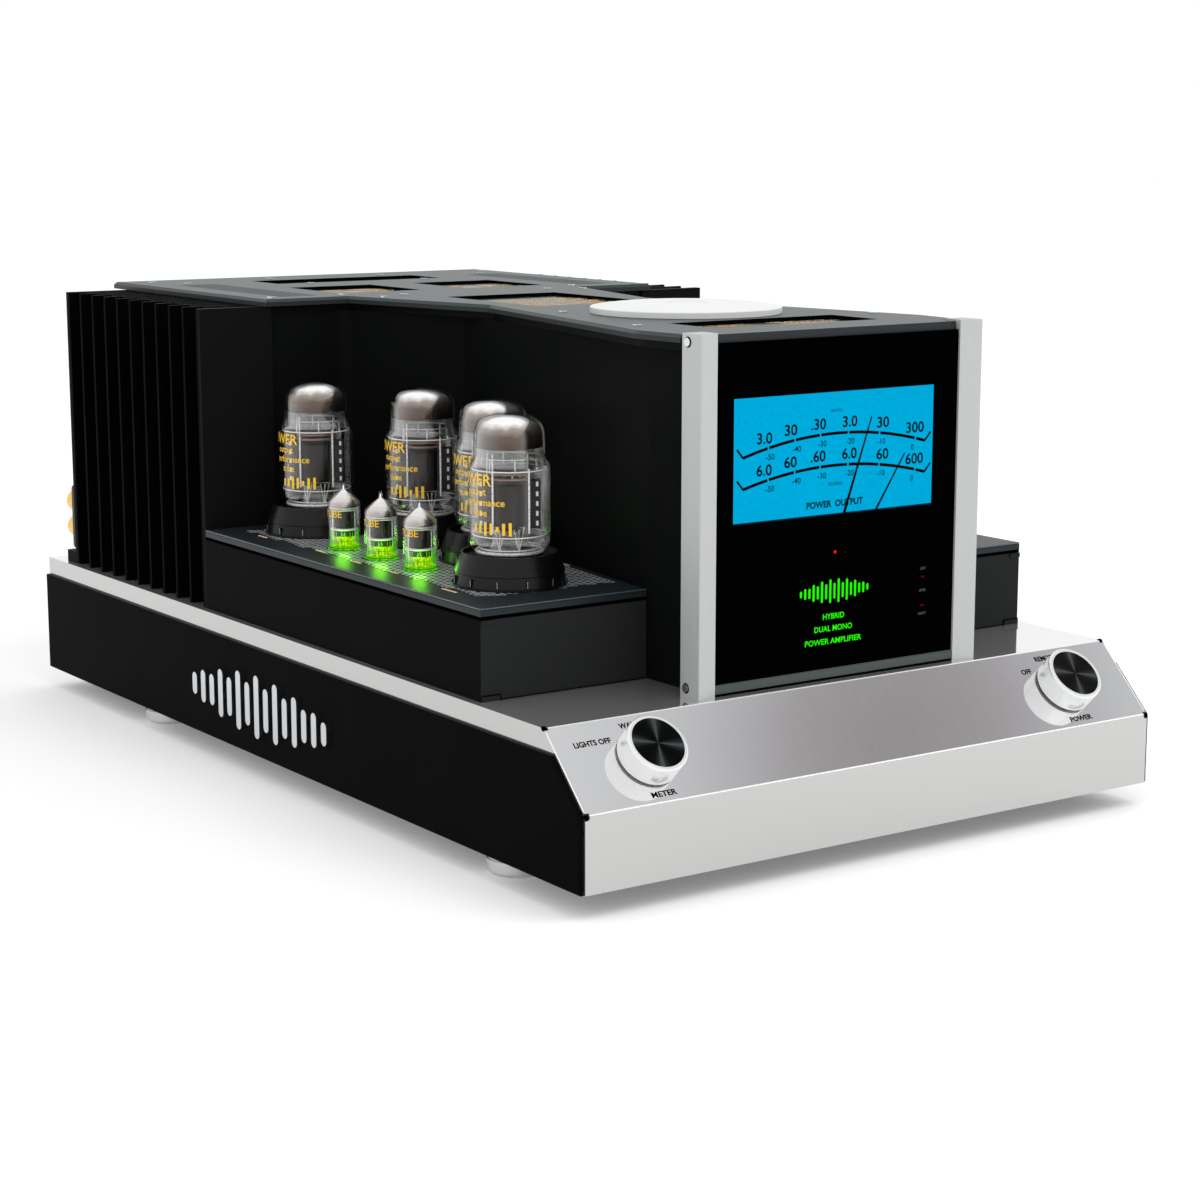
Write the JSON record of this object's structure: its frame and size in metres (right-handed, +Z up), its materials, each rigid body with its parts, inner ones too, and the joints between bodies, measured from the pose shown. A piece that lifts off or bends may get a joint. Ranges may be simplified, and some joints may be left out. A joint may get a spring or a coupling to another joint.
{
  "type": "tube power amplifier",
  "caption": "Tube power amplifier on a polished chassis: a central tower with a lit output meter, tube decks in open bays, finned heat sinks and rear terminals.",
  "frame": {"origin": "on the surface the feet stand on, below the middle of the bounding box", "axes": "+Z up, -Y towards the front with the meter and knobs, +X to the right when seen from the front"},
  "size_m": [0.457, 0.7596, 0.3265],
  "materials": {
    "polished_steel": "mirror-polished stainless steel",
    "base_steel": "black powder coat",
    "black_glass": "black gloss glass",
    "badge_metal": "polished metal",
    "foot_grey": "satin grey with a rubber sole",
    "deck_black": "satin black paint",
    "deck_slate": "slate-grey anodised plate",
    "collar_black": "satin black",
    "socket_black": "black moulded",
    "tube_glass": "clear blown glass",
    "tube_metal": "dark grey-brown electrodes on a chrome-banded base",
    "driver_metal": "dark electrodes",
    "wall_black": "satin black paint",
    "plate_slate": "slate-grey anodised plate",
    "window_glass": "dark glass with gold artwork",
    "disc_metal": "spun satin aluminium",
    "screw_metal": "polished screw heads",
    "bar_metal": "satin anodised aluminium",
    "front_glass": "black gloss glass with green print",
    "meter_pane": "clear glass",
    "meter_blue": "lit blue scale",
    "needle_black": "black painted pointer",
    "movement_black": "black moulded",
    "strip_grey": "satin dark grey",
    "sink_black": "black anodised extrusion",
    "knob_metal": "satin turned aluminium",
    "knob_cap": "black spun disc",
    "shaft_steel": "bright steel",
    "switch_black": "black moulded",
    "gold": "gold plated",
    "block_black": "black moulded",
    "core_steel": "black varnished laminations and potting",
    "can_metal": "blue sleeved cans",
    "board_green": "green boards with components",
    "chip_black": "black moulded"
  },
  "bodies": {
    "amplifier": {"base_plate": "base_steel", "binding_posts": "gold", "body_wall_left": "wall_black", "body_wall_right": "wall_black", "chassis_shell": "polished_steel", "circuit_boards": "board_green", "corner_bar_left": "bar_metal", "corner_bar_right": "bar_metal", "cover_screws": "screw_metal", "deck_box_left": "deck_black", "deck_box_right": "deck_black", "deck_plate_left": "deck_slate", "deck_plate_right": "deck_slate", "driver_tube_cores_left": "driver_metal", "driver_tube_cores_right": "driver_metal", "driver_tube_glass_left": "tube_glass", "driver_tube_glass_right": "tube_glass", "feet": "foot_grey", "filter_capacitors": "can_metal", "front_panel": "front_glass", "heatsink_end_plates": "sink_black", "heatsink_left": "sink_black", "heatsink_right": "sink_black", "input_sockets": "gold", "meter_face": "meter_blue", "meter_movements": "movement_black", "meter_window": "meter_pane", "output_transformers": "core_steel", "output_transistors": "chip_black", "power_inlet": "block_black", "power_transformer": "core_steel", "power_tube_cores_left": "tube_metal", "power_tube_cores_right": "tube_metal", "power_tube_glass_left": "tube_glass", "power_tube_glass_right": "tube_glass", "rear_panel": "wall_black", "rotary_switches": "switch_black", "side_badges": "badge_metal", "side_glass_left": "black_glass", "side_glass_right": "black_glass", "terminal_blocks": "block_black", "top_disc": "disc_metal", "top_plate": "plate_slate", "top_rim": "wall_black", "top_windows": "window_glass", "trim_strip": "strip_grey", "tube_collars": "collar_black", "tube_sockets": "socket_black"},
    "meter_knob_body": {"meter_knob": "knob_metal", "meter_knob_cap": "knob_cap", "meter_switch_shaft": "shaft_steel"},
    "power_knob_body": {"power_knob": "knob_metal", "power_knob_cap": "knob_cap", "power_switch_shaft": "shaft_steel"},
    "lower_needle": {"needle_lower": "needle_black"},
    "upper_needle": {"needle_upper": "needle_black"},
    "nut_left_low": {"post_nut_left_low": "gold"},
    "nut_left_high": {"post_nut_left_high": "gold"},
    "nut_right_low": {"post_nut_right_low": "gold"},
    "nut_right_high": {"post_nut_right_high": "gold"}
  },
  "joints": [
    {"name": "meter_knob_turn", "type": "hinge", "parent": "amplifier", "child": "meter_knob_body", "pos_m": [-0.1655, -0.35499, 0.08225], "axis": [0, -0.7071, 0.7071], "range_deg": [-45, 45]},
    {"name": "power_knob_turn", "type": "hinge", "parent": "amplifier", "child": "power_knob_body", "pos_m": [0.1655, -0.35499, 0.08225], "axis": [0, -0.7071, 0.7071], "range_deg": [-45, 45]},
    {"name": "lower_needle_swing", "type": "hinge", "parent": "amplifier", "child": "lower_needle", "pos_m": [0.0026, -0.31984, 0.1582], "axis": [0, 1, 0], "range_deg": [-80.4, 12.8]},
    {"name": "upper_needle_swing", "type": "hinge", "parent": "amplifier", "child": "upper_needle", "pos_m": [0.0026, -0.31864, 0.185], "axis": [0, 1, 0], "range_deg": [-69.7, 30]},
    {"name": "nut_left_low_turn", "type": "hinge", "parent": "amplifier", "child": "nut_left_low", "pos_m": [-0.205, 0.35476, 0.13], "axis": [0, 1, 0], "range_deg": [0, 720]},
    {"name": "nut_left_high_turn", "type": "hinge", "parent": "amplifier", "child": "nut_left_high", "pos_m": [-0.205, 0.35476, 0.15], "axis": [0, 1, 0], "range_deg": [0, 720]},
    {"name": "nut_right_low_turn", "type": "hinge", "parent": "amplifier", "child": "nut_right_low", "pos_m": [0.205, 0.35476, 0.13], "axis": [0, 1, 0], "range_deg": [0, 720]},
    {"name": "nut_right_high_turn", "type": "hinge", "parent": "amplifier", "child": "nut_right_high", "pos_m": [0.205, 0.35476, 0.15], "axis": [0, 1, 0], "range_deg": [0, 720]}
  ]
}
